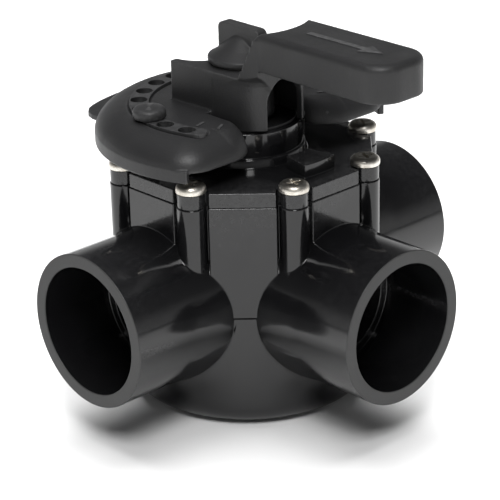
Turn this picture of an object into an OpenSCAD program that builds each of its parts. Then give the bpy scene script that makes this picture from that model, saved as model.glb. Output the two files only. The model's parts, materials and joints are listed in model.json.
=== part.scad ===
// Three-way diverter valve for 2 inch plastic pipe, in millimetres.
// Origin: centre of the flat base, under the stem. +Z runs up the stem, the straight
// run lies along X, and the branch port and the handle at rest point along -Y.

/* [Ports] */
// Outside diameter of each port tube, which takes a coupling over it
port_od = 73.03; // [70:0.01:76]
// Inside diameter of each port socket, which takes a pipe
socket_d = 60.33; // [58:0.01:62]
// Depth of each socket from its face
socket_depth = 38; // [30:1:42]
// Diameter of the bore behind the socket
bore_d = 52; // [46:1:54]
// Distance from the stem axis to each port face
port_reach = 100.5; // [95:0.5:110]
// Height of the port axes above the base
port_z = 56; // [54:1:58]

/* [Body] */
// Radius of the round body wall, and of the flat panels above it
body_r = 59.5; // [58.5:0.5:61]
// Radius of the cavity that the diverter turns in
cavity_r = 52; // [51:0.5:53]
// Height of the joint between the body and its cover
joint_z = 110; // [108:1:112]
// Thickness of the cavity floor
floor_t = 6; // [5:0.5:7]
// Rounding of the base edge
base_round = 11; // [8:1:12]
// Half width of each flat panel
panel_half_w = 15.3; // [14:0.1:15.6]

/* [Cover and screws] */
// Thickness of the cover flange
cover_t = 7; // [6:0.5:8]
// Outside radius of the neck
neck_r = 27; // [25:0.5:28]
// Height of the neck top above the base
neck_top = 133; // [131:0.5:133]
// Radius of the circle that the screws stand on
screw_ring_r = 60; // [59:0.5:61]
// Number of cover screws
screw_count = 8; // [8]
// Radius of each screw boss
boss_r = 6.7; // [6:0.1:6.9]
// Radius of each screw head
screw_head_r = 6.9; // [6:0.1:7]

/* [Handle] */
// Radius of the dial
dial_r = 70; // [69:0.5:71]
// Height of the top of the dial above the base
dial_top = 140.5; // [140:0.5:141]
// Wall thickness of the moulding
handle_wall = 3; // [2.5:0.1:3.2]
// Height of the top of the deck that the knob clamps
deck_top = 159.5; // [158:0.5:160]
// Height of the top of the grip
grip_top = 182; // [180:0.5:183]
// Distance from the stem axis to the end of the grip
grip_reach = 103; // [95:1:108]
// Half width of the grip
grip_half_w = 17.25; // [16:0.25:18]
// Radius of the circle that the peg holes lie on
peg_ring_r = 49; // [48:0.5:49.5]
// Number of peg holes
peg_hole_count = 15; // [15]

/* [Knob and pegs] */
// Radius of the knob disc
knob_r = 16.5; // [15:0.5:19]
// Height of the top of the wing
wing_top = 177; // [176:0.5:181]
// Thickness of the wing
wing_t = 6; // [5:0.5:8]
// Angle of each stop peg from the grip, about the stem
peg_angle = 105; // [105]
// Radius of each peg's head
peg_head_r = 7.75; // [7:0.25:8]

/* [Hidden] */
$fn = 96;
eps = 0.01;
far = 200;
port_angles = [-90, 0, 90];
port_r = port_od / 2;
root_r = port_r + 2;              // thicker root of each port tube
root_reach = 48;
root_taper = 21;                   // ends where the straight part of the tube begins
body_top_core_r = body_r - 3.3;   // round core behind the panels and the screw bosses
pilot_r = 2.3;
shank_r = 2.5;
clear_r = 2.9;
screw_depth = 17;

plug_r = cavity_r - 0.15;         // round plug under the cover, which centres it in the body
plug_h = 8;
plug_wall = 6;
o_ring_r = 1.8;                   // section radius of the cover ring
cover_top = joint_z + cover_t;
hub_r = 24;
hub_bottom = joint_z - 4;
block_half_angle = 11.2;          // fixed stop block on the cover
block_r = [35, 50];
block_top = cover_top + 6.5;

stem_r = 15;
bush_r = 19;
bush_bore_r = stem_r + 0.05;
bush_flange_t = 2;
stem_ring_r = 1.6;                // section radius of the stem rings
stem_ring_z = [115, 126];
stem_shoulder = neck_top + 0.6;
key_r = 10;                       // round of the stem's keyed end, with two flats
key_flat = 8;
key_top = deck_top - 10.5;
key_gap = 0.1;
insert_r = 6;
stud_r = 4;

pivot_r = 8;
bearing_r = 10;
bearing_z = 4;
bearing_flange_top = 13.5;
disc_t = 5;
lower_disc_z = bearing_flange_top + 0.5;
thrust_t = 1.4;
upper_disc_top = hub_bottom - bush_flange_t - thrust_t - 0.2;
door_top = joint_z - plug_h - 1;
door_r = cavity_r - 0.8;
disc_r = door_r - 0.4;
door_t = 5;
door_half_angle = 38;
seal_r = [27, 31];                // inner and outer radius of the seal, seen along the branch
seal_reach = cavity_r - 0.25;
seal_depth = 2;

dial_base = 128.5;                // where the dial's curved edge starts
dial_h = dial_top - dial_base;
edge_w = 16.2;                      // width of the curved edge
edge_side_r = 8;                  // its two tangent arcs: small at the side, large on top
dial_front = -33;                 // straight front edge of the dial
toe_y = dial_front + edge_w;
notch_half_w = 27;
notch_back = -18.5;
toe_round = 12;
skirt_bottom = 124;
skirt_angle = 24;                 // the skirt ends this far in front of the stem on each side
tab_r = 81.5;
tab_half_w = 38;
tab_round = 6;
tab_z = 125;
band_r = [44.3, 53.5];
band_h = 1;
band_half_open = 69;              // the raised band leaves this much open each side of the grip
hub_front_r = 29;
hub_skin_bottom = 134.5;
hub_tube_r = 14;
deck_rear = [22, 26];             // rear corner of the deck
deck_front = [20, -18];
notch_r = 18;
notch_y = 28;
scoop_r = [26.2, 31.6];           // cone cut around the knob, at the deck and at the grip top
arch_half_w = 11;
arch_top = deck_top - 3.5;
grip_bottom = 164.5;
grip_corner = 13;
grip_edge = 3;
taper_end = -28;
peg_hole_r = 4;
peg_step = 15;

washer_t = 0.8;
knob_bottom = deck_top + washer_t;
knob_rim = 3.6;
wing_half = 13.5;
wing_round = 3;
stud_grip = 7;                    // length of the stud inside the knob
peg_neck_r = 3.9;
peg_tip_r = 3;
peg_tip = cover_top + 1.6;
peg_seat = dial_top + band_h;

black_gloss = [0.06, 0.06, 0.065];
black_matte = [0.17, 0.17, 0.17];
steel = [0.72, 0.70, 0.66];
rubber_black = [0.08, 0.08, 0.08];
white_plastic = [0.86, 0.86, 0.83];
brass_yellow = [0.78, 0.62, 0.30];

// ---- shared shapes ----

// Square that starts at the axis, with its top outer corner rounded
module rounded_profile(w, h, r) {
    square([w - r, h]);
    square([w, h - r]);
    translate([w - r, h - r]) circle(r = r);
}

// Plain ring about Z
module ring(r_out, r_in, z, h) {
    translate([0, 0, z]) difference() {
        cylinder(r = r_out, h = h);
        translate([0, 0, -1]) cylinder(r = r_in, h = h + 2);
    }
}

// Rubber ring of round section about Z
module o_ring(centre_r, section_r, z) {
    translate([0, 0, z]) rotate_extrude() translate([centre_r, 0]) circle(r = section_r);
}

// Puts children at each cover screw, halfway between the flat panels
module at_screws() {
    for (i = [0 : screw_count - 1])
        rotate([0, 0, (i + 0.5) * 360 / screw_count]) translate([screw_ring_r, 0, 0]) children();
}

// Cylinder from the stem axis out to a port, for each angle in the list
module along_ports(r, from, to, angles) {
    for (a = angles)
        rotate([0, 0, a]) translate([0, -from, port_z]) rotate([90, 0, 0])
            cylinder(r = r, h = to - from);
}

// Outline of the body top and the cover: eight flat panels with a screw boss between each two
module top_outline(inset) {
    circle(r = body_top_core_r - inset);
    for (i = [0 : screw_count - 1]) {
        rotate(i * 360 / screw_count)
            translate([0, -(panel_half_w - inset)])
            square([body_r - inset, 2 * (panel_half_w - inset)]);
        rotate((i + 0.5) * 360 / screw_count)
            translate([screw_ring_r, 0]) circle(r = boss_r - inset);
    }
}

// ---- fixed parts ----

module body_outside() {
    rotate_extrude() {
        square([body_r - base_round, port_z]);
        translate([0, base_round]) square([body_r, port_z - base_round]);
        translate([body_r - base_round, base_round]) circle(r = base_round);
    }
    translate([0, 0, port_z]) linear_extrude(joint_z - port_z) top_outline(0);
    at_screws() translate([0, 0, port_z]) sphere(r = boss_r);
    along_ports(port_r, 0, port_reach, port_angles);
    along_ports(root_r, 0, root_reach, port_angles);
    for (a = port_angles)
        rotate([0, 0, a]) translate([0, -root_reach, port_z]) rotate([90, 0, 0])
            cylinder(r1 = root_r, r2 = port_r, h = root_taper);
}

module valve_body() {
    color(black_gloss) difference() {
        union() {
            difference() {
                body_outside();
                translate([0, 0, floor_t]) cylinder(r = cavity_r, h = far);
                along_ports(bore_d / 2, 0, far, port_angles);
                along_ports(socket_d / 2, port_reach - socket_depth, far, port_angles);
            }
            translate([0, 0, floor_t - 1]) cylinder(r = bearing_r + 4, h = 7);
        }
        translate([0, 0, bearing_z]) cylinder(r = bearing_r, h = far);
        at_screws() translate([0, 0, joint_z - screw_depth - 2]) cylinder(r = pilot_r, h = far);
    }
}

module lower_bearing() {
    color(white_plastic) difference() {
        union() {
            translate([0, 0, bearing_z]) cylinder(r = bearing_r, h = floor_t + 7 - bearing_z);
            translate([0, 0, floor_t + 6]) cylinder(r = bearing_r + 3, h = 1.5);
        }
        translate([0, 0, bearing_z - 1]) cylinder(r = pivot_r + 0.05, h = 20);
    }
}

module stop_block() {
    translate([0, 0, cover_top - 1])
        rotate([0, 0, -90 - block_half_angle])
        rotate_extrude(angle = 2 * block_half_angle)
        translate([block_r[0], 0]) square([block_r[1] - block_r[0], block_top - cover_top + 1]);
}

module cover() {
    groove_z = joint_z - plug_h / 2 - o_ring_r;
    color(black_gloss) difference() {
        union() {
            translate([0, 0, joint_z]) linear_extrude(cover_t) top_outline(0.3);
            ring(plug_r, plug_r - plug_wall, joint_z - plug_h, plug_h + 1);
            translate([0, 0, hub_bottom]) cylinder(r = hub_r, h = 5);
            translate([0, 0, cover_top - 1]) cylinder(r = neck_r, h = neck_top - cover_top + 1);
            translate([0, 0, cover_top - 1]) cylinder(r1 = neck_r + 2.5, r2 = neck_r + 1, h = 5);
            stop_block();
        }
        ring(far, plug_r - 2 * o_ring_r, groove_z, 2 * o_ring_r);
        translate([0, 0, hub_bottom - 1]) cylinder(r = bush_r, h = far);
        at_screws() translate([0, 0, joint_z - 1]) cylinder(r = clear_r, h = cover_t + 2);
    }
}

module cover_o_ring() {
    color(rubber_black) o_ring(plug_r - o_ring_r, o_ring_r, joint_z - plug_h / 2);
}

// Pan head screw with a cross recess
module pan_screw(turn) {
    head_h = 4;
    recess_w = 1.5;
    recess_l = 7;
    translate([0, 0, -cover_t - screw_depth]) cylinder(r = shank_r, h = cover_t + screw_depth + 1);
    difference() {
        rotate_extrude() rounded_profile(screw_head_r, head_h, 2.6);
        for (a = [turn, turn + 90])
            rotate([0, 0, a]) translate([-recess_l / 2, -recess_w / 2, head_h - 1.8])
                cube([recess_l, recess_w, 3]);
    }
}

module cover_screws() {
    color(steel)
        for (i = [0 : screw_count - 1])
            rotate([0, 0, (i + 0.5) * 360 / screw_count])
                translate([screw_ring_r, 0, cover_top]) pan_screw(i * 37);
}

module stem_bush() {
    color(white_plastic) difference() {
        union() {
            translate([0, 0, hub_bottom]) cylinder(r = bush_r, h = neck_top - hub_bottom - 1);
            translate([0, 0, hub_bottom - bush_flange_t])
                cylinder(r = bush_r + 4, h = bush_flange_t);
        }
        translate([0, 0, hub_bottom - 5]) cylinder(r = bush_bore_r, h = far);
    }
}

module handle_washer() {
    color(white_plastic) ring(neck_r - 3, stem_r + 0.5, neck_top, 1.2);
}

// ---- parts that turn with the handle ----

// Curved wall about Z between two radii, centred on -Y
module curved_wall(r_in, r_out, half_angle, z, h) {
    translate([0, 0, z]) rotate([0, 0, -90 - half_angle])
        rotate_extrude(angle = 2 * half_angle)
        translate([r_in, 0]) square([r_out - r_in, h]);
}

// Ring along the branch axis that the seal fills
module seal_ring(r_in, r_out) {
    translate([0, -20, port_z]) rotate([90, 0, 0]) difference() {
        cylinder(r = r_out, h = 60);
        translate([0, 0, -1]) cylinder(r = r_in, h = 62);
    }
}

// Round bar with two flats, which carries the handle
module keyed_bar(gap, z, h) {
    translate([0, 0, z]) intersection() {
        cylinder(r = key_r + gap, h = h);
        translate([-key_flat - gap, -key_r - 1, -1])
            cube([2 * (key_flat + gap), 2 * key_r + 2, h + 2]);
    }
}

module diverter() {
    color([0.12, 0.12, 0.13]) difference() {
        union() {
            translate([0, 0, bearing_z + 1]) cylinder(r = pivot_r, h = lower_disc_z - bearing_z);
            translate([0, 0, lower_disc_z]) cylinder(r = disc_r, h = disc_t);
            curved_wall(door_r - door_t, door_r, door_half_angle,
                        lower_disc_z, door_top - lower_disc_z);
            translate([0, 0, upper_disc_top - disc_t]) cylinder(r = plug_r - plug_wall - 2, h = disc_t);
            curved_wall(plug_r - plug_wall - 6, door_r - 1, door_half_angle - 1,
                        door_top - disc_t - 1, disc_t);
            translate([0, 0, upper_disc_top - 1]) cylinder(r = stem_r, h = stem_shoulder - upper_disc_top + 1);
            keyed_bar(0, stem_shoulder - 1, key_top - stem_shoulder + 1);
        }
        intersection() {
            seal_ring(seal_r[0], seal_r[1]);
            ring(far, seal_reach - seal_depth, lower_disc_z, far);
        }
        for (z = stem_ring_z)
            ring(far, stem_r - 2 * stem_ring_r, z - stem_ring_r, 2 * stem_ring_r);
        translate([0, 0, key_top - 13]) cylinder(r = insert_r, h = far);
    }
}

module diverter_seal() {
    color(rubber_black) intersection() {
        seal_ring(seal_r[0], seal_r[1]);
        ring(seal_reach, seal_reach - seal_depth, lower_disc_z, 90);
    }
}

module thrust_washer() {
    color(white_plastic) ring(bush_r + 4, stem_r + 0.1, upper_disc_top, thrust_t);
}

module stem_insert() {
    color(brass_yellow) ring(insert_r, stud_r + 0.05, key_top - 13, 13);
}

// ---- handle ----

// Quarter oval made of two tangent arcs, moved inwards by t, starting x0 from the axis
module edge_profile(t, x0) {
    side_x = edge_w - edge_side_r;
    top_r = (side_x * side_x + dial_h * dial_h - edge_side_r * edge_side_r)
            / (2 * (dial_h - edge_side_r));
    drop = top_r - dial_h;
    d = [side_x, drop] / (top_r - edge_side_r);
    translate([x0, 0]) {
        intersection() {
            translate([0, -drop]) circle(r = top_r - t);
            polygon([[0, 0], [side_x, 0], [side_x, 0] + 60 * d, [0, 60]]);
        }
        intersection() {
            translate([side_x, 0]) circle(r = edge_side_r - t);
            polygon([[side_x, 0], [side_x + 60, 0], [side_x, 0] + 60 * d]);
        }
    }
    if (x0 > 0) square([x0, dial_h - t]);
}

// Sector of a solid of revolution about Z, from one angle to another
module sector(from, to) {
    rotate([0, 0, from]) rotate_extrude(angle = to - from) children();
}

// Edge profile moved inwards by t, with a straight mouth of the given depth below it
module edge_and_mouth(t, x0, mouth) {
    edge_profile(t, x0);
    if (mouth > 0) translate([0, -mouth]) square([x0 + edge_w - t, mouth]);
}

// Dial with rounded edges, straight across the front, moved inwards by t
module dial_solid(t, mouth) {
    translate([0, 0, dial_base]) intersection() {
        rotate_extrude() edge_and_mouth(t, dial_r - edge_w, mouth);
        translate([-far / 2, 0, 0]) rotate([90, 0, 90]) linear_extrude(far) {
            translate([toe_y, 0]) mirror([1, 0]) edge_and_mouth(t, 0, mouth);
            translate([toe_y, -mouth]) square([far / 2, dial_h - t + mouth]);
        }
    }
}

// Notch that leaves a toe on each side of the grip, made wider by t
module toe_notch(t) {
    translate([0, 0, skirt_bottom - 20]) linear_extrude(60) {
        translate([-notch_half_w - t, -far]) square([2 * (notch_half_w + t), far + notch_back + t]);
        for (side = [0, 1])
            mirror([side, 0]) difference() {
                translate([0, dial_front - 5]) square([notch_half_w + toe_round, toe_round + 5 - t]);
                translate([notch_half_w + toe_round, dial_front + toe_round - t])
                    circle(r = toe_round - t);
            }
    }
}

// Wall that hangs below the dial, round the back and sides, before the hollow thins it
module skirt() {
    translate([0, 0, skirt_bottom])
        sector(-skirt_angle, 180 + skirt_angle)
        translate([dial_r - 2 * handle_wall, 0])
        square([2 * handle_wall - 0.2, dial_base - skirt_bottom + 1]);
}

// Flat tab at the back, with rounded outer corners
module rear_tab() {
    cx = tab_half_w - tab_round;
    corner = [cx, sqrt(pow(tab_r - tab_round, 2) - cx * cx)];
    translate([0, 0, tab_z]) linear_extrude(handle_wall) difference() {
        intersection() {
            circle(r = tab_r);
            translate([-tab_half_w, 40]) square([2 * tab_half_w, 60]);
        }
        circle(r = dial_r - handle_wall / 2);
        for (side = [0, 1])
            mirror([side, 0]) difference() {
                polygon([corner, corner + [20, 0], corner * 1.5 + [20, 0], corner * 1.5]);
                translate(corner) circle(r = tab_round);
            }
    }
}

// Raised band round the dial, which the peg holes go through, with round ends
module peg_band() {
    mid_r = (band_r[0] + band_r[1]) / 2;
    open = band_half_open;
    translate([0, 0, dial_top - 1]) {
        sector(-90 + open, 270 - open)
            translate([band_r[0], 0]) square([band_r[1] - band_r[0], band_h + 1]);
        for (side = [-1, 1])
            rotate([0, 0, side * open]) translate([0, -mid_r, 0])
                cylinder(r = (band_r[1] - band_r[0]) / 2, h = band_h + 1);
    }
}

// Plan of the deck, with its sides tapering forward and a round notch at the back
module deck_plan(t) {
    difference() {
        polygon([
            [deck_rear[0] - t, deck_rear[1] - t], [deck_front[0] - t, deck_front[1]],
            [grip_half_w - t, taper_end], [-grip_half_w + t, taper_end],
            [-deck_front[0] + t, deck_front[1]], [-deck_rear[0] + t, deck_rear[1] - t]
        ]);
        translate([0, notch_y]) circle(r = notch_r + t);
    }
}

// Grip: a bar with rounded upper edges and a rounded end, moved inwards by t
module grip_solid(t, back_y, z_low) {
    h = grip_top - z_low - t;
    half = grip_half_w - t;
    corner = grip_corner - t;
    edge = max(grip_edge - t, 0.5);
    end_y = -grip_reach + grip_corner;
    translate([0, 0, z_low]) {
        translate([0, back_y, 0]) rotate([90, 0, 0]) linear_extrude(back_y - end_y)
            for (side = [0, 1]) mirror([side, 0]) rounded_profile(half, h, edge);
        for (side = [-1, 1])
            translate([side * (half - corner), end_y, 0])
                sector(side > 0 ? -90 : 180, side > 0 ? 0 : 270) rounded_profile(corner, h, edge);
        translate([-(half - corner), end_y, 0]) rotate([90, 0, 90])
            linear_extrude(2 * (half - corner))
            mirror([1, 0]) rounded_profile(corner, h, edge);
    }
}

// Walls of the hub: from below the dial up to the grip, round at the front
module hub_outside() {
    intersection() {
        translate([0, 0, hub_skin_bottom]) linear_extrude(grip_top - grip_edge - hub_skin_bottom)
            deck_plan(0);
        union() {
            translate([0, 0, hub_skin_bottom]) cylinder(r = hub_front_r, h = far);
            translate([-far, 0, hub_skin_bottom]) cube([2 * far, far, far]);
            translate([-far, -far, grip_bottom]) cube([2 * far, 2 * far, far]);
            translate([0, 0, deck_top - 4])
                cylinder(r1 = hub_front_r, r2 = hub_front_r + 9, h = grip_bottom - deck_top + 4);
        }
    }
}

// Space cut above the deck, with the cone round the knob
module above_deck() {
    translate([0, 0, deck_top])
        cylinder(r1 = scoop_r[0], r2 = scoop_r[1], h = grip_top - deck_top + eps);
    translate([-far, -2, deck_top]) cube([2 * far, 2 * far, far]);
}

// Hollow inside the hub below the deck, and the arch that opens it to the front
module hub_hollow() {
    intersection() {
        translate([0, 0, hub_skin_bottom - 10])
            linear_extrude(deck_top - handle_wall - hub_skin_bottom + 10) deck_plan(handle_wall);
        cylinder(r = hub_front_r - handle_wall, h = far);
    }
    arch_z = arch_top - arch_half_w;
    translate([-arch_half_w, -45, hub_skin_bottom - 10])
        cube([2 * arch_half_w, 30, arch_z - hub_skin_bottom + 10]);
    translate([0, -15, arch_z]) rotate([90, 0, 0]) cylinder(r = arch_half_w, h = 30);
}

module handle() {
    color(black_matte) difference() {
        union() {
            difference() {
                union() {
                    difference() {
                        union() {
                            dial_solid(0, 0);
                            skirt();
                        }
                        difference() {
                            dial_solid(handle_wall, 20);
                            toe_notch(handle_wall);
                        }
                        toe_notch(0);
                    }
                    peg_band();
                    rear_tab();
                    hub_outside();
                    grip_solid(0, taper_end + 10, grip_bottom);
                }
                above_deck();
                hub_hollow();
                grip_solid(handle_wall, taper_end - 8, grip_bottom - 1);
            }
            translate([0, 0, hub_skin_bottom]) cylinder(r = hub_tube_r, h = deck_top - hub_skin_bottom);
        }
        translate([0, 0, dial_base - 1])
            cylinder(r = neck_r + 1, h = hub_skin_bottom - dial_base + 0.8);
        keyed_bar(key_gap, hub_skin_bottom - 1, key_top - hub_skin_bottom + 1 + key_gap);
        translate([0, 0, hub_skin_bottom]) cylinder(r = stud_r + 0.5, h = far);
        for (i = [0 : peg_hole_count - 1])
            rotate([0, 0, peg_angle - 30 + i * peg_step])
                translate([0, -peg_ring_r, dial_base]) cylinder(r = peg_hole_r, h = 40);
    }
}

// ---- locking knob ----

module knob_washer() {
    color(steel) ring(hub_tube_r, stud_r + 0.3, deck_top, washer_t);
}

module locking_knob() {
    skirt_top = knob_bottom + knob_rim;
    wing_h = wing_top - skirt_top;
    color(black_matte) difference() {
        union() {
            translate([0, 0, knob_bottom]) cylinder(r = knob_r, h = knob_rim);
            translate([0, 0, skirt_top]) cylinder(r1 = knob_r - 0.6, r2 = 5, h = wing_h * 0.6);
            translate([-wing_t / 2, 0, skirt_top - 1]) rotate([90, 0, 90]) linear_extrude(wing_t) {
                translate([-wing_half, 0]) square([2 * wing_half, wing_h + 1 - wing_round]);
                translate([-wing_half + wing_round, 0])
                    square([2 * (wing_half - wing_round), wing_h + 1]);
                for (side = [-1, 1])
                    translate([side * (wing_half - wing_round), wing_h + 1 - wing_round])
                        circle(r = wing_round);
            }
        }
        translate([0, 0, knob_bottom - 1]) cylinder(r = stud_r, h = stud_grip + 1);
    }
}

module knob_stud() {
    color(steel) translate([0, 0, key_top - 11]) cylinder(r = stud_r, h = knob_bottom + stud_grip - key_top + 11);
}

// ---- stop pegs ----

module stop_peg(side) {
    head_rim = 1.6;
    cap_h = 3.4;
    cap_r = (peg_head_r * peg_head_r + cap_h * cap_h) / (2 * cap_h);
    color(black_matte) rotate([0, 0, side * peg_angle]) translate([0, -peg_ring_r, 0]) {
        translate([0, 0, peg_seat]) cylinder(r = peg_head_r, h = head_rim);
        intersection() {
            translate([0, 0, peg_seat + head_rim + cap_h - cap_r]) sphere(r = cap_r);
            translate([0, 0, peg_seat + head_rim - 0.2]) cylinder(r = peg_head_r, h = 10);
        }
        translate([0, 0, dial_top - 6]) cylinder(r = peg_neck_r, h = peg_seat - dial_top + 7);
        translate([0, 0, peg_tip]) cylinder(r = peg_tip_r, h = dial_top - 5 - peg_tip);
    }
}

module stop_peg_left() { stop_peg(-1); }
module stop_peg_right() { stop_peg(1); }

valve_body();
lower_bearing();
cover();
cover_o_ring();
cover_screws();
stem_bush();
handle_washer();
diverter();
diverter_seal();
thrust_washer();
color(rubber_black) o_ring(stem_r - stem_ring_r, stem_ring_r, stem_ring_z[0]);  // stem_o_ring_lower
color(rubber_black) o_ring(stem_r - stem_ring_r, stem_ring_r, stem_ring_z[1]);  // stem_o_ring_upper
stem_insert();
handle();
knob_washer();
locking_knob();
knob_stud();
stop_peg_left();
stop_peg_right();
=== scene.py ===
import json
import math

import bmesh
import bpy
from mathutils import Matrix, Vector


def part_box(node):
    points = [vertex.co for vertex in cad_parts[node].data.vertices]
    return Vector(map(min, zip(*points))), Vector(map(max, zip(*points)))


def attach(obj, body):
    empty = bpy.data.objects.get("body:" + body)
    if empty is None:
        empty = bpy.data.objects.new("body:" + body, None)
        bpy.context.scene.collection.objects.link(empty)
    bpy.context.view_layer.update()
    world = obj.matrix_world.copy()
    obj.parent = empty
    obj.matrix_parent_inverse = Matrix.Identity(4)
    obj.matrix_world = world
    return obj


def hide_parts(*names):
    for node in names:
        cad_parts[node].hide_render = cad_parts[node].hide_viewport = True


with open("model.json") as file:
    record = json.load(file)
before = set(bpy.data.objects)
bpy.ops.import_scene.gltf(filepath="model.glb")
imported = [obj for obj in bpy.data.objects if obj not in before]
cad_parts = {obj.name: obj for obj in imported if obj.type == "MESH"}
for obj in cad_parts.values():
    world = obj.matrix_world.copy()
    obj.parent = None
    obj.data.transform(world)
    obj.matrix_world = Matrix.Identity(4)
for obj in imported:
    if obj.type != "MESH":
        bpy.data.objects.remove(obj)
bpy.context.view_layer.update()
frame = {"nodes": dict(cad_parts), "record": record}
nodes = frame["nodes"]
scene = bpy.context.scene
MM = 0.001


# ---- shader nodes ----


def new_material(name):
    mat = bpy.data.materials.new(name)
    mat.use_nodes = True
    tree = mat.node_tree
    coord = tree.nodes.new("ShaderNodeTexCoord")
    return mat, tree, tree.nodes["Principled BSDF"], coord.outputs["Object"]


def noise(tree, vector, scale, detail=4.0, rough=0.55, stretch=None):
    """Noise with scale waves in a metre, or other scales along X, Y and Z by stretch."""
    if stretch is not None:
        mapping = tree.nodes.new("ShaderNodeMapping")
        mapping.inputs["Scale"].default_value = stretch
        tree.links.new(vector, mapping.inputs["Vector"])
        vector = mapping.outputs["Vector"]
    node = tree.nodes.new("ShaderNodeTexNoise")
    node.inputs["Scale"].default_value = scale
    node.inputs["Detail"].default_value = detail
    node.inputs["Roughness"].default_value = rough
    tree.links.new(vector, node.inputs["Vector"])
    return node.outputs["Fac"]


def remap(tree, value, lo, hi, out_lo, out_hi):
    node = tree.nodes.new("ShaderNodeMapRange")
    for key, number in (("From Min", lo), ("From Max", hi), ("To Min", out_lo), ("To Max", out_hi)):
        node.inputs[key].default_value = number
    tree.links.new(value, node.inputs["Value"])
    return node.outputs["Result"]


def math_node(tree, kind, a, b):
    node = tree.nodes.new("ShaderNodeMath")
    node.operation = kind
    for socket, value in zip(node.inputs, (a, b)):
        if isinstance(value, (int, float)):
            socket.default_value = value
        else:
            tree.links.new(value, socket)
    return node.outputs["Value"]


def mix_colour(tree, fac, a, b):
    node = tree.nodes.new("ShaderNodeMix")
    node.data_type = "RGBA"
    tree.links.new(fac, node.inputs["Factor"])
    colour_a, colour_b, colour_out = node.inputs[6], node.inputs[7], node.outputs[2]
    for socket, value in ((colour_a, a), (colour_b, b)):
        if isinstance(value, tuple):
            socket.default_value = (*value, 1.0)
        else:
            tree.links.new(value, socket)
    return colour_out


def bump_chain(tree, bsdf, layers):
    """Stacks bumps: each layer is a height, its strength and its depth in metres."""
    last = None
    for height, strength, depth in layers:
        node = tree.nodes.new("ShaderNodeBump")
        node.inputs["Strength"].default_value = strength
        node.inputs["Distance"].default_value = depth
        tree.links.new(height, node.inputs["Height"])
        if last is not None:
            tree.links.new(last, node.inputs["Normal"])
        last = node.outputs["Normal"]
    tree.links.new(last, bsdf.inputs["Normal"])


def edge_wear(tree):
    """One on sharp outer edges, zero on flat and hollow places."""
    geometry = tree.nodes.new("ShaderNodeNewGeometry")
    return remap(tree, geometry.outputs["Pointiness"], 0.505, 0.56, 0.0, 1.0)


PORT_FACE = (0.1000, 0.1003)  # from the axis, in metres: where a port's end face begins and is full


def port_faces(tree, at):
    """One on the flat ends of the three port tubes, zero elsewhere."""
    split = tree.nodes.new("ShaderNodeSeparateXYZ")
    tree.links.new(at, split.inputs["Vector"])
    across = math_node(tree, "ABSOLUTE", split.outputs["X"], 0.0)
    front = math_node(tree, "MULTIPLY", split.outputs["Y"], -1.0)
    return remap(tree, math_node(tree, "MAXIMUM", across, front), *PORT_FACE, 0.0, 1.0)


# ---- materials ----


def plastic(name, dark, light, worn, rough, grain, grain_depth, wave_depth=0.0, cut_ends=None):
    """Moulded plastic: cloudy colour, worn edges, uneven sheen, moulding grain and slow waviness.

    Grain and depths are in metres. With cut_ends, the port ends take that colour, matt and scored.
    """
    mat, tree, bsdf, at = new_material(name)
    cloud = noise(tree, at, 26.0, 5.0)
    dust = noise(tree, at, 420.0, 6.0, 0.7)
    colour = mix_colour(tree, remap(tree, cloud, 0.35, 0.65, 0.0, 1.0), dark, light)
    speck = remap(tree, dust, 0.62, 0.78, 0.0, 0.35)
    colour = mix_colour(tree, speck, colour, worn)
    wear = math_node(tree, "MULTIPLY", edge_wear(tree), remap(tree, dust, 0.4, 0.7, 0.25, 0.9))
    colour = mix_colour(tree, wear, colour, worn)
    smear = noise(tree, at, 60.0, 4.0, 0.6, (1.0, 1.0, 0.35))
    sheen = remap(tree, smear, 0.3, 0.7, rough[0], rough[1])
    layers = [(noise(tree, at, 1.0 / grain, 3.0, 0.6), 0.6, grain_depth)]
    if wave_depth:
        layers.append((noise(tree, at, 55.0, 2.0, 0.4), 0.5, wave_depth))
    if cut_ends is not None:
        mask = port_faces(tree, at)
        colour = mix_colour(tree, mask, colour, cut_ends)
        sheen = math_node(tree, "MAXIMUM", sheen, math_node(tree, "MULTIPLY", mask, 0.62))
        score = math_node(tree, "MULTIPLY", mask, noise(tree, at, 1500.0, 3.0, 0.6))
        layers.append((score, 0.6, 0.00006))
    tree.links.new(colour, bsdf.inputs["Base Color"])
    tree.links.new(sheen, bsdf.inputs["Roughness"])
    bump_chain(tree, bsdf, layers)
    return mat


def metal(name, dark, light, rough, stretch):
    """Metal with fine working lines across a patchy colour."""
    mat, tree, bsdf, at = new_material(name)
    lines = noise(tree, at, 900.0, 3.0, 0.6, stretch)
    patch = noise(tree, at, 240.0, 4.0)
    colour = mix_colour(tree, remap(tree, patch, 0.35, 0.65, 0.0, 1.0), dark, light)
    tree.links.new(colour, bsdf.inputs["Base Color"])
    tree.links.new(remap(tree, lines, 0.3, 0.7, rough[0], rough[1]), bsdf.inputs["Roughness"])
    bump_chain(tree, bsdf, [(lines, 0.35, 0.00002), (patch, 0.3, 0.00005)])
    bsdf.inputs["Metallic"].default_value = 1.0
    return mat


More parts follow.
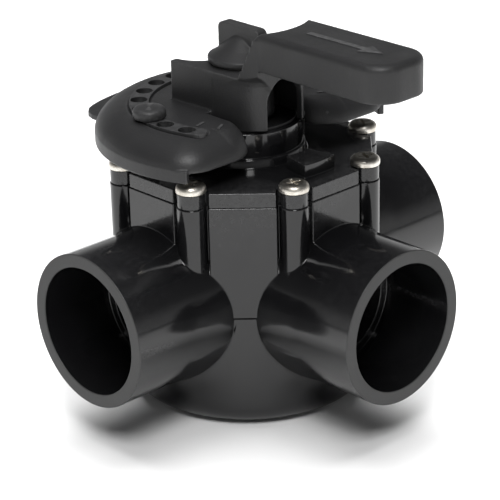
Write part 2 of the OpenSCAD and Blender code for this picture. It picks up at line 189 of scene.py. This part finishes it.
GLOSS = {"rough": (0.08, 0.15), "grain": 0.0007, "grain_depth": 0.000012, "wave_depth": 0.00007}
MATTE = {"rough": (0.42, 0.54), "grain": 0.0009, "grain_depth": 0.0002}
PLASTICS = {
    "body_gloss": {"dark": (0.004, 0.004, 0.0045), "light": (0.007, 0.007, 0.0075),
                   "worn": (0.03, 0.03, 0.031), "cut_ends": (0.03, 0.03, 0.03), **GLOSS},
    "cover_gloss": {"dark": (0.005, 0.005, 0.0055), "light": (0.008, 0.008, 0.0085),
                    "worn": (0.035, 0.035, 0.036), **GLOSS},
    "handle_matte": {"dark": (0.011, 0.011, 0.0115), "light": (0.015, 0.015, 0.0155),
                     "worn": (0.06, 0.06, 0.061), **MATTE},
    "knob_matte": {"dark": (0.014, 0.014, 0.0145), "light": (0.019, 0.019, 0.0195),
                   "worn": (0.06, 0.06, 0.061), **MATTE},
    "peg_matte": {"dark": (0.011, 0.011, 0.0115), "light": (0.015, 0.015, 0.0155),
                  "worn": (0.05, 0.05, 0.051), **MATTE},
    "diverter_plastic": {"dark": (0.012, 0.012, 0.013), "light": (0.017, 0.017, 0.018),
                         "worn": (0.04, 0.04, 0.04), "rough": (0.3, 0.42),
                         "grain": 0.0006, "grain_depth": 0.00002},
    "bearing_plastic": {"dark": (0.62, 0.62, 0.58), "light": (0.70, 0.70, 0.67),
                        "worn": (0.76, 0.76, 0.74), "rough": (0.4, 0.5),
                        "grain": 0.0006, "grain_depth": 0.00002},
    "seal_rubber": {"dark": (0.012, 0.012, 0.012), "light": (0.018, 0.018, 0.018),
                    "worn": (0.04, 0.04, 0.04), "rough": (0.55, 0.7),
                    "grain": 0.0004, "grain_depth": 0.00003},
}
METALS = {
    "screw_steel": {"dark": (0.62, 0.58, 0.51), "light": (0.80, 0.77, 0.71),
                    "rough": (0.28, 0.46), "stretch": (1.0, 1.0, 5.0)},
    "washer_steel": {"dark": (0.55, 0.54, 0.52), "light": (0.64, 0.63, 0.61),
                     "rough": (0.24, 0.4), "stretch": (1.0, 1.0, 6.0)},
    "insert_brass": {"dark": (0.62, 0.45, 0.20), "light": (0.72, 0.54, 0.27),
                     "rough": (0.25, 0.4), "stretch": (1.0, 1.0, 6.0)},
}
MATERIALS = {name: plastic(name, **look) for name, look in PLASTICS.items()}
MATERIALS.update({name: metal(name, **look) for name, look in METALS.items()})


# ---- finish of the CAD nodes ----

EDGE_WIDTH = {
    "valve_body": 0.0006, "cover": 0.0005, "cover_screws": 0.0003, "handle": 0.0006,
    "locking_knob": 0.0005, "stop_peg_left": 0.0004, "stop_peg_right": 0.0004,
}
FINE_EDGE = 0.0002
SAME_POINT = 2e-6
SAME_PLANE_DEG = 0.6
SHARP_DEG = 32


def finish_cad(name, slot):
    """Rounds the moulded edges of a CAD node and gives it its material."""
    obj = nodes[name]
    obj.data.materials.clear()
    obj.data.materials.append(MATERIALS[slot])
    weld = obj.modifiers.new("weld", "WELD")
    weld.merge_threshold = SAME_POINT
    flat = obj.modifiers.new("flat", "DECIMATE")
    flat.decimate_type = "DISSOLVE"
    flat.angle_limit = math.radians(SAME_PLANE_DEG)
    bevel = obj.modifiers.new("bevel", "BEVEL")
    bevel.width = EDGE_WIDTH.get(name, FINE_EDGE)
    bevel.segments = 3
    bevel.limit_method = "ANGLE"
    bevel.angle_limit = math.radians(SHARP_DEG)
    bevel.miter_outer = "MITER_ARC"
    bevel.harden_normals = False
    bevel.use_clamp_overlap = False
    normals = obj.modifiers.new("normals", "WEIGHTED_NORMAL")
    normals.keep_sharp = False
    normals.mode = "FACE_AREA_WITH_ANGLE"
    obj.data.shade_smooth()


for row in frame["record"]["subparts"]:
    finish_cad(row["node"], row["material_slot"])


# ---- mesh building, in millimetres ----


def new_object(name, data):
    obj = bpy.data.objects.new(name, data)
    scene.collection.objects.link(obj)
    return obj


def discard(objs):
    for obj in objs:
        mesh = obj.data
        bpy.data.objects.remove(obj)
        bpy.data.meshes.remove(mesh)


def on_circle(r, angle):
    """Point at radius r, angle in degrees from +X towards +Y."""
    a = math.radians(angle)
    return (r * math.cos(a), r * math.sin(a))


def arc(cx, cy, r, start, end, steps):
    """Points of an arc about (cx, cy), angles in degrees from +X towards +Y."""
    points = []
    for i in range(steps + 1):
        x, y = on_circle(r, start + (end - start) * i / steps)
        points.append((cx + x, cy + y))
    return points


def loft(name, rings):
    """Closed solid through rings of points of equal count."""
    bm = bmesh.new()
    rows = [[bm.verts.new(Vector(p) * MM) for p in ring] for ring in rings]
    count = len(rows[0])
    for low, high in zip(rows, rows[1:]):
        for i in range(count):
            j = (i + 1) % count
            bm.faces.new((low[i], low[j], high[j], high[i]))
    bm.faces.new(list(reversed(rows[0])))
    bm.faces.new(rows[-1])
    bmesh.ops.recalc_face_normals(bm, faces=bm.faces)
    mesh = bpy.data.meshes.new(name)
    bm.to_mesh(mesh)
    bm.free()
    return new_object(name, mesh)


def prism(name, outline, z_low, z_high):
    return loft(name, [[(x, y, z) for x, y in outline] for z in (z_low, z_high)])


def block(name, x, y_low, y_high, z_low, z_high):
    return prism(name, [(-x, y_low), (x, y_low), (x, y_high), (-x, y_high)], z_low, z_high)


def lathe(name, profile, steps, at=(0.0, 0.0)):
    """Solid of revolution about a vertical axis through at. The profile runs from axis to axis."""
    least_r = 0.01  # a point on the axis becomes a tiny end face
    rings = []
    for r, z in profile:
        circle = arc(at[0], at[1], max(r, least_r), 0, 360, steps)[:-1]
        rings.append([(x, y, z) for x, y in circle])
    return loft(name, rings)


def rod(name, r, z_low, z_high, steps, at=(0.0, 0.0)):
    return lathe(name, [(0, z_low), (r, z_low), (r, z_high), (0, z_high)], steps, at)


def evaluated(obj):
    """Applies obj's modifiers for good."""
    graph = bpy.context.evaluated_depsgraph_get()
    mesh = bpy.data.meshes.new_from_object(obj.evaluated_get(graph))
    old = obj.data
    obj.modifiers.clear()
    obj.data = mesh
    bpy.data.meshes.remove(old)
    return obj


def combine(obj, others, operation):
    for other in others:
        step = obj.modifiers.new("combine", "BOOLEAN")
        step.operation = operation
        step.solver = "EXACT"
        step.use_self = True
        step.object = other
    return evaluated(obj)


def carve(obj, cutters):
    return combine(obj, cutters, "DIFFERENCE")


def keep_within(obj, limits):
    """Cuts away what lies outside limits, and removes limits."""
    combine(obj, [limits], "INTERSECT")
    discard([limits])


def joined(name, objs):
    bm = bmesh.new()
    for obj in objs:
        bm.from_mesh(obj.data)
    mesh = bpy.data.meshes.new(name)
    bm.to_mesh(mesh)
    bm.free()
    discard(objs)
    return new_object(name, mesh)


def moulded(obj, voxel, rounds):
    """Merges overlapping solids into one skin with softly rounded edges."""
    remesh = obj.modifiers.new("skin", "REMESH")
    remesh.mode = "VOXEL"
    remesh.voxel_size = voxel * MM
    smooth = obj.modifiers.new("soften", "SMOOTH")
    smooth.factor = 0.5
    smooth.iterations = rounds
    evaluated(obj)
    obj.data.shade_smooth()
    return obj


def softened(obj, width):
    """Rounds the sharp edges of obj."""
    bevel = obj.modifiers.new("edges", "BEVEL")
    bevel.width = width * MM
    bevel.segments = 3
    bevel.limit_method = "ANGLE"
    bevel.angle_limit = math.radians(35)
    normals = obj.modifiers.new("normals", "WEIGHTED_NORMAL")
    normals.keep_sharp = False
    obj.data.shade_smooth()
    return obj


# ---- handle sizes ----

WALL = 3.0
FAR_LOW, FAR_HIGH, FAR_OUT = 120, 200, 60    # ends of cutters that lie clear of the handle

DIAL_BASE, DIAL_TOP, DIAL_R = 128.5, 140.5, 70.0
TOE_R = 17.0
TOE_OUT, TOE_IN = (50.5, -16.0), (37.0, -16.0)    # centres of the toe's outer and inner corner
TOE_INNER_EDGE = 5.5                              # rounding of the dial's edge beside the hub
SKIRT_LOW, SKIRT_END = 124, -25
TAB_R, TAB_END, TAB_LOW, TAB_HIGH = 81.5, 62, 125, 128
TAB_CORNER = [(38.0, 57.0), (38.0, 66.0), (36.5, 70.5), (33.0, 74.2)]

PEG_RING, PEG_HOLE, PEG_HOLES, PEG_STEP = 49.0, 4.0, 15, 15
FIRST_PEG = -15
BAND_R_IN, BAND_HALF, BAND_END, BAND_HIGH = 44.3, 4.6, -21, 1.0
GROOVE = 0.8                                      # width and depth beside the band

DECK_TOP, HUB_LOW = 159.5, 134.5
HUB_REAR, HUB_SIDE = (22.0, 26.0), (20.0, -18.0)
NOTCH_Y, NOTCH_R = 28, 18.0                       # round notch in the back of the deck
CAVITY_R, CAVITY_TOP = 26.0, 156.5
CAVITY_PLAN = [(17, -24), (19, 23), (-19, 23), (-17, -24)]
ARCH_HALF, ARCH_SPRING = 11, 145
NECK_R, NECK_TOP = 28, 134.3
TUBE_R, TUBE_BORE, TUBE_BORE_TOP, STUD_HOLE = 14, 10.2, 149.3, 4.6
SCOOP_R_LOW, SCOOP_R_HIGH = 26.2, 31.84
# half width, reach and height of the hub's front, which spreads into the underside of the grip
HUB_FLARE = (
    (20.5, 28.6, 120), (20.5, 28.6, 153.0), (20.6, 29.2, 156.0), (20.9, 30.4, 158.5),
    (21.5, 32.4, 160.6), (22.5, 35.5, 162.4), (24.5, 40.0, 163.8), (28.0, 48.0, 164.9),
    (60.0, 95.0, 165.6), (60.0, 95.0, 200))

GRIP_LOW, GRIP_TOP, GRIP_HALF = 164.5, 181.7, 17.25
GRIP_END, GRIP_CORNER = -103.0, 13.0
HUB_FRONT_CORNER = (GRIP_HALF, -28.0)


def mirrored(points):
    """The same points on the other side of the YZ plane, in reverse order."""
    return [(-x, y) for x, y in reversed(points)]


# ---- dial ----


def dial_outline(inset):
    """Points, their inward directions and the width of the rounded edge there, all the way round."""
    half = []
    reach = math.degrees(math.atan2(TOE_OUT[1], TOE_OUT[0]))
    toe = TOE_R - inset
    for x, y in arc(0, 0, 1, 90, reach, 44):
        half.append(((x * (DIAL_R - inset), y * (DIAL_R - inset)), (-x, -y), TOE_R))
    for x, y in arc(0, 0, 1, reach, -90, 16)[1:]:
        half.append(((TOE_OUT[0] + x * toe, TOE_OUT[1] + y * toe), (-x, -y), TOE_R))
    for i, (x, y) in enumerate(arc(0, 0, 1, -90, -180, 16)):
        edge = TOE_R - (TOE_R - TOE_INNER_EDGE) * (i / 16) ** 0.7
        half.append(((TOE_IN[0] + x * toe, TOE_IN[1] + y * toe), (-x, -y), edge))
    for y in (-12.0, -8.0, -4.0, 0.0):
        half.append(((TOE_IN[0] - toe, y), (1.0, 0.0), TOE_INNER_EDGE))
    left = [((-p[0], p[1]), (-n[0], n[1]), w) for p, n, w in reversed(half[1:])]
    return half + left


def dial_pillow(name, inset, low):
    """Solid whose upper edge is a quarter oval, from low up to inset below the dial's top."""
    outline = dial_outline(inset)
    height = DIAL_TOP - DIAL_BASE - inset
    rings = [[(*p, low) for p, n, w in outline]]
    steps = 14
    for k in range(steps + 1):
        a = math.radians(90 * k / steps)
        ring = []
        for p, n, w in outline:
            d = (w - inset) * (1 - math.cos(a))
            ring.append((p[0] + n[0] * d, p[1] + n[1] * d, DIAL_BASE + height * math.sin(a)))
        rings.append(ring)
    return loft(name, rings)


def peg_cutters():
    cutters = []
    for i in range(PEG_HOLES):
        at = on_circle(PEG_RING, FIRST_PEG + PEG_STEP * i)
        cutters.append(rod("peg_cut", PEG_HOLE, 120, 150, 28, at))
    return joined("peg_cut_all", cutters)


def band_outline(grow):
    """Plan of the band round the peg holes, with round ends, moved outwards by grow."""
    ring, half = BAND_R_IN + BAND_HALF, BAND_HALF + grow
    start, end = BAND_END, 180 - BAND_END
    first_cap = arc(*on_circle(ring, end), half, end, end + 180, 20)[1:-1]
    last_cap = arc(*on_circle(ring, start), half, start + 180, start + 360, 20)[1:-1]
    outer = arc(0, 0, ring + half, start, end, 110)
    inner = arc(0, 0, ring - half, end, start, 110)
    return outer + first_cap + inner + last_cap


def make_dial(pegs, cavity, arch):
    """Hollow dial with peg holes, and a groove that the band stands in."""
    hollow = dial_pillow("dial_inner", WALL, 118)
    neck = rod("neck", NECK_R, FAR_LOW, NECK_TOP, 60)
    groove = prism("groove", band_outline(GROOVE), DIAL_TOP - GROOVE, DIAL_TOP + 3.0)
    dial = carve(dial_pillow("dial", 0.0, DIAL_BASE), [hollow, pegs, cavity, arch, neck, groove])
    discard([hollow, neck, groove])
    return dial


def make_skirt():
    start, end = SKIRT_END, 180 - SKIRT_END
    outline = arc(0, 0, DIAL_R, start, end, 90) + arc(0, 0, DIAL_R - WALL, end, start, 90)
    return prism("skirt", outline, SKIRT_LOW, DIAL_BASE + 1.5)


def make_tab():
    """Flat tab behind the dial."""
    rim = [p for p in arc(0, 0, TAB_R, TAB_END, 180 - TAB_END, 24) if abs(p[0]) < 30.5]
    root = arc(0, 0, DIAL_R - 1.5, 123.6, 56.4, 24)[1:-1]
    return prism("tab", TAB_CORNER + rim + mirrored(TAB_CORNER) + root, TAB_LOW, TAB_HIGH)


# ---- hub and grip ----


def cavity_cutter():
    """Hollow of the hub round its tube, closed by the deck and by the wall of the notch."""
    cavity = prism("cavity", arc(0, 0, CAVITY_R, 0, 360, 48)[:-1], FAR_LOW, CAVITY_TOP)
    keep_within(cavity, prism("cavity_plan", CAVITY_PLAN, 119, 157))
    notch_wall = rod("notch_wall", NOTCH_R + WALL, 119, 158, 48, (0, NOTCH_Y))
    carve(cavity, [notch_wall])
    discard([notch_wall])
    return cavity


def arch_cutter():
    """Arched opening in the front of the hub. Its roof rises forwards."""
    outline = [(-ARCH_HALF, FAR_LOW), (ARCH_HALF, FAR_LOW)]
    outline += arc(0, ARCH_SPRING, ARCH_HALF, 0, 180, 20)
    slices = []
    for y, lift in ((-45, 7), (-30, 4), (-25, 0), (-14, 0)):
        slices.append([(x, y, z if z == FAR_LOW else z + lift) for x, z in outline])
    return loft("arch", slices)


def scoop_cutters():
    """What is cut away above the deck: a widening round scoop, and everything behind it."""
    top = GRIP_TOP + 1
    scoop = lathe("scoop", [(0, DECK_TOP), (SCOOP_R_LOW, DECK_TOP), (SCOOP_R_HIGH, top), (0, top)], 72)
    return [scoop, block("behind", FAR_OUT, -2, 90, DECK_TOP, FAR_HIGH)]


def deck_outline():
    """Plan of the hub, tapering forwards, with the notch at its back."""
    side = [HUB_FRONT_CORNER, HUB_SIDE, HUB_REAR]
    start = -math.degrees(math.asin((NOTCH_Y - HUB_REAR[1]) / NOTCH_R))
    return side + arc(0, NOTCH_Y, NOTCH_R, start, -180 - start, 26) + mirrored(side)


def hub_front(half, reach, z):
    """Plan of the hub in front of its axis: a half oval with full shoulders."""
    ring = []
    steps = 48
    for i in range(steps + 1):
        a = math.pi * i / steps
        x = half * math.copysign(abs(math.cos(a)) ** (2 / 3), math.cos(a))
        ring.append((x, -reach * math.sin(a) ** (2 / 3), z))
    return ring


def make_hub(cavity, arch, scoop):
    hub = prism("hub", deck_outline(), HUB_LOW, GRIP_TOP - WALL)
    front = loft("front", [hub_front(*row) for row in HUB_FLARE])
    rear = block("rear", FAR_OUT, -1, FAR_OUT, FAR_LOW, FAR_HIGH)
    keep_within(hub, joined("hub_limits", [front, rear]))
    return carve(hub, [cavity, arch, *scoop])


def grip_outline(inset, back):
    half, r = GRIP_HALF - inset, GRIP_CORNER - inset
    cx, cy = half - r, GRIP_END + GRIP_CORNER
    corners = arc(cx, cy, r, 0, -90, 12) + arc(-cx, cy, r, -90, -180, 12)
    return [(half, back)] + corners + [(-half, back)]


def grip_body(name, inset, edge, back, low):
    """Bar with its upper edge rounded over by edge."""
    start = GRIP_TOP - inset - edge
    rings = [[(x, y, low) for x, y in grip_outline(inset, back)]]
    for k in range(7):
        a = math.radians(15 * k)
        ring = grip_outline(inset + edge * (1 - math.cos(a)), back)
        rings.append([(x, y, start + edge * math.sin(a)) for x, y in ring])
    return loft(name, rings)


def make_grip(cavity, scoop):
    grip = grip_body("grip", 0.0, 3.2, -18.0, GRIP_LOW)
    hollow = grip_body("grip_hollow", WALL, 1.0, -36.0, GRIP_LOW - 2)
    carve(grip, [hollow, *scoop, cavity])
    discard([hollow])
    return grip


def make_tube():
    """Tube in the hub that fits over the stem, with the stud's hole at its top."""
    tube = rod("tube", TUBE_R, HUB_LOW, DECK_TOP, 60)
    hole = lathe("tube_hole", [(0, FAR_LOW), (TUBE_BORE, FAR_LOW), (TUBE_BORE, TUBE_BORE_TOP),
                               (STUD_HOLE, TUBE_BORE_TOP), (STUD_HOLE, 170), (0, 170)], 48)
    carve(tube, [hole])
    discard([hole])
    return tube


def make_handle():
    pegs, cavity, arch, scoop = peg_cutters(), cavity_cutter(), arch_cutter(), scoop_cutters()
    parts = [make_dial(pegs, cavity, arch), make_skirt(), make_tab(), make_hub(cavity, arch, scoop),
             make_grip(cavity, scoop), make_tube()]
    discard([pegs, cavity, arch, *scoop])
    return moulded(joined("handle_moulding", parts), 0.48, 2)


def make_band():
    """Raised band that stands in the groove of the dial."""
    band = prism("dial_band", band_outline(0.0), DIAL_TOP - 1.5, DIAL_TOP + BAND_HIGH)
    pegs = peg_cutters()
    carve(band, [pegs])
    discard([pegs])
    return softened(band, 0.2)


def make_marks():
    """Raised plain arrow on the grip and ticks on the dial."""
    half, head_half, tail, neck, tip = 1.6, 5.0, -43.0, -77.0, -88.0
    side = [(half, tail), (half, neck), (head_half, neck)]
    arrow = [(-x, y) for x, y in side] + [(0, tip)] + list(reversed(side))
    pieces = [prism("arrow", arrow, GRIP_TOP - 0.4, GRIP_TOP + 0.3)]
    near, far, tick_half = 35, 41, 0.7
    for angle in (-30, -15, 195, 210):
        out = Vector(on_circle(1, angle))
        wide = Vector((-out.y, out.x)) * tick_half
        corners = [out * near - wide, out * far - wide, out * far + wide, out * near + wide]
        pieces.append(prism("tick", [tuple(c) for c in corners], DIAL_TOP - 0.4, DIAL_TOP + 0.4))
    return softened(joined("plain_marks", pieces), 0.15)


# ---- knob and pegs ----

KNOB_R, KNOB_RIM = 16.4, 3.2
WING_REACH, WING_HALF, WING_ROUND = 13.5, 3.0, 3.0
# radius and height of the cone above the rim, as a share of the height from the rim to the wing's top
KNOB_CONE = ((13.4, 0.09), (10.6, 0.22), (7.6, 0.40), (5.0, 0.56), (3.0, 0.64), (0, 0.66))


def make_knob():
    """Disc, shallow cone and an upright plate to turn it by."""
    low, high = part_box("locking_knob")
    base, top = low.z / MM, high.z / MM
    rim = base + KNOB_RIM
    profile = [(0, base), (KNOB_R - 0.8, base), (KNOB_R - 0.2, base + 0.3), (KNOB_R, base + 0.9),
               (KNOB_R, rim - 0.9), (KNOB_R - 0.3, rim - 0.25), (KNOB_R - 0.9, rim)]
    profile += [(r, rim + share * (top - rim)) for r, share in KNOB_CONE]
    disc = lathe("disc", profile, 96)
    edge = [(WING_REACH, rim - 1.0)]
    edge += arc(WING_REACH - WING_ROUND, top - WING_ROUND, WING_ROUND, 0, 90, 8)
    outline = edge + mirrored(edge)
    wing = loft("wing", [[(x, y, z) for y, z in outline] for x in (-WING_HALF, WING_HALF)])
    return moulded(joined("locking_knob_moulding", [disc, wing]), 0.34, 3)


PEG_HEAD, PEG_SHANK = 5.0, 3.2    # height of the button, radius of the shank


def make_peg(node):
    """Flat button with a rounded upper edge, on a plain shank."""
    low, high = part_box(node)
    at = ((low.x + high.x) / 2 / MM, (low.y + high.y) / 2 / MM)
    r = (high.x - low.x) / 2 / MM
    tip, top = low.z / MM, high.z / MM
    seat = top - PEG_HEAD
    profile = [(0, tip), (PEG_SHANK - 0.6, tip), (PEG_SHANK, tip + 0.6), (PEG_SHANK, seat),
               (r - 0.5, seat), (r, seat + 0.5), (r, top - 2.0), (r - 0.35, top - 1.1),
               (r - 1.1, top - 0.45), (r - 2.2, top - 0.15), (r - 4.5, top), (0, top)]
    peg = lathe(node + "_moulding", profile, 64, at)
    peg.data.shade_smooth()
    return peg


# ---- pieces on their bodies ----


def fit_out(obj, body, slot, *stands_for):
    """Puts a piece on a body in a material slot, in place of the nodes it stands for."""
    obj.data.materials.clear()
    obj.data.materials.append(MATERIALS[slot])
    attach(obj, body)
    if stands_for:
        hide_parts(*stands_for)


fit_out(make_handle(), "rotor", "handle_matte", "handle")
fit_out(make_band(), "rotor", "handle_matte")
fit_out(make_marks(), "rotor", "handle_matte")
fit_out(make_knob(), "knob", "knob_matte", "locking_knob")
for side in ("left", "right"):
    fit_out(make_peg("stop_peg_" + side), "peg_" + side, "peg_matte", "stop_peg_" + side)


# ---- floor, lights and camera, in metres ----

LIGHT_AIM = Vector((0.0, 0.0, 0.08))


def floor_piece():
    half = 6.0
    mesh = bpy.data.meshes.new("floor")
    mesh.from_pydata([(-half, -half, 0), (half, -half, 0), (half, half, 0), (-half, half, 0)], [],
                     [(0, 1, 2, 3)])
    mat, tree, bsdf, at = new_material("floor_paper")
    colour = mix_colour(tree, noise(tree, at, 3.0, 3.0), (0.86, 0.86, 0.86), (0.88, 0.88, 0.88))
    tree.links.new(colour, bsdf.inputs["Base Color"])
    bsdf.inputs["Roughness"].default_value = 0.85
    bsdf.inputs["Specular IOR Level"].default_value = 0.2
    mesh.materials.append(mat)
    floor = new_object("floor", mesh)
    floor.location.z = -0.0002


def studio_world():
    """Bright at the horizon and dark overhead, as in a white sweep under a dark ceiling."""
    world = bpy.data.worlds.new("studio")
    world.use_nodes = True
    tree = world.node_tree
    coord = tree.nodes.new("ShaderNodeTexCoord")
    split = tree.nodes.new("ShaderNodeSeparateXYZ")
    tree.links.new(coord.outputs["Generated"], split.inputs["Vector"])
    ramp = tree.nodes.new("ShaderNodeValToRGB")
    stops = ((0.0, 0.72), (0.15, 0.52), (0.34, 0.11), (0.62, 0.03))
    while len(ramp.color_ramp.elements) < len(stops):
        ramp.color_ramp.elements.new(0.5)
    for element, (at, grey) in zip(ramp.color_ramp.elements, stops):
        element.position = at
        element.color = (grey, grey, grey, 1.0)
    tree.links.new(split.outputs["Z"], ramp.inputs["Fac"])
    tree.links.new(ramp.outputs["Color"], tree.nodes["Background"].inputs["Color"])
    scene.world = world


def area_light(name, at, size, power):
    data = bpy.data.lights.new(name, "AREA")
    data.energy = power
    data.size = size
    light = new_object(name, data)
    light.location = at
    light.rotation_euler = (LIGHT_AIM - Vector(at)).to_track_quat("-Z", "Y").to_euler()
    return light


def place_camera():
    """Looks down at the valve from its front left, between two of its ports."""
    azimuth, elevation, roll = (math.radians(a) for a in (-43.09, 23.07, -1.46))
    distance, target = 1.009, Vector((0.0, 0.0, 0.06473))
    back = Vector((math.sin(azimuth) * math.cos(elevation),
                   -math.cos(azimuth) * math.cos(elevation), math.sin(elevation)))
    data = bpy.data.cameras.new("camera")
    data.sensor_width = 36.0
    data.lens = 151.8
    data.shift_x = 0.004
    data.clip_start = 0.05
    data.clip_end = 30.0
    camera = new_object("camera", data)
    camera.location = target + back * distance
    look = (-back).to_track_quat("-Z", "Y").to_matrix()
    camera.rotation_euler = (look @ Matrix.Rotation(roll, 3, "Z")).to_euler()
    scene.camera = camera


floor_piece()
studio_world()
overhead = area_light("overhead", (0.25, 0.30, 1.5), 1.3, 46.0)
overhead.visible_glossy = False
area_light("front", (-0.70, -0.75, 1.45), 0.6, 19.0)
place_camera()
scene.view_settings.view_transform = "Standard"
